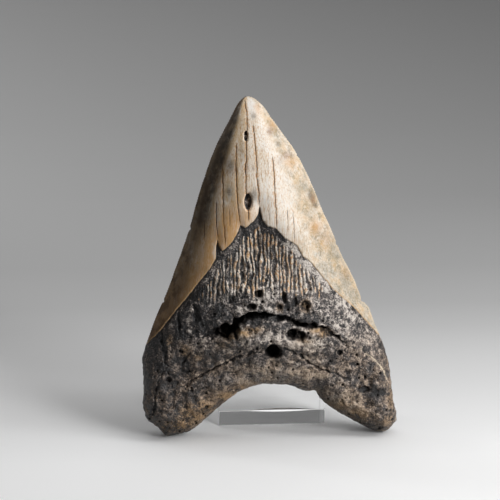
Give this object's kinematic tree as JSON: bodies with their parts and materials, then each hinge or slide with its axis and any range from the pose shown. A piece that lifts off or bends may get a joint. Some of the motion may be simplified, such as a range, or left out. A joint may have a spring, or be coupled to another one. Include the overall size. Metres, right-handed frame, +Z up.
{
  "type": "fossil megalodon tooth on a display stand",
  "caption": "Large triangular fossil shark tooth with a cracked two-lobed root, leaning back on a clear block.",
  "frame": {"origin": "middle of the whole footprint, on the surface that it stands on", "axes": "+Z up the tooth to its tip, +Y from the tooth's domed face back to the block, +X across the tooth to its broader right edge"},
  "size_m": [0.105, 0.0536, 0.1378],
  "materials": {
    "fossil_tooth": "glossy cream enamel over a dark, porous, cracked root",
    "clear_acrylic": "polished clear acrylic with eased edges"
  },
  "bodies": {
    "root": {"tooth": "fossil_tooth", "stand": "clear_acrylic"}
  },
  "joints": []
}
